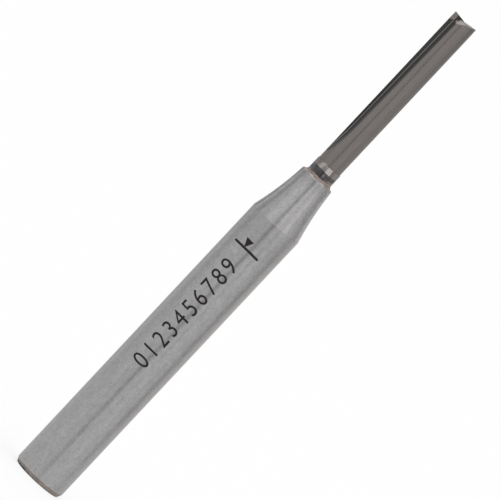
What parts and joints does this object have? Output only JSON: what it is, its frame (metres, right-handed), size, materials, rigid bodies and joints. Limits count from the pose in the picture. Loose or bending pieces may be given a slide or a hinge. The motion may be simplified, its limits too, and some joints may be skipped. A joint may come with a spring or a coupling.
{
  "type": "straight router bit",
  "caption": "Straight two-flute carbide cutter brazed into a plain round steel shank with a hollow-turned nose, for grooves in wood and board.",
  "frame": {"origin": "centre of the shank's flat end face, which the bit stands on", "axes": "+Z along the tool's axis from the shank's end to the tip; +X through one cutting lip, so the two rake faces lie in the plane of X and Z"},
  "size_m": [0.0064, 0.0064, 0.0678],
  "materials": {
    "shank_steel": "satin ground",
    "carbide": "fine ground",
    "braze": "as brazed"
  },
  "bodies": {
    "root": {"shank": "shank_steel", "carbide_cutter": "carbide", "braze_joint": "braze"}
  },
  "joints": []
}
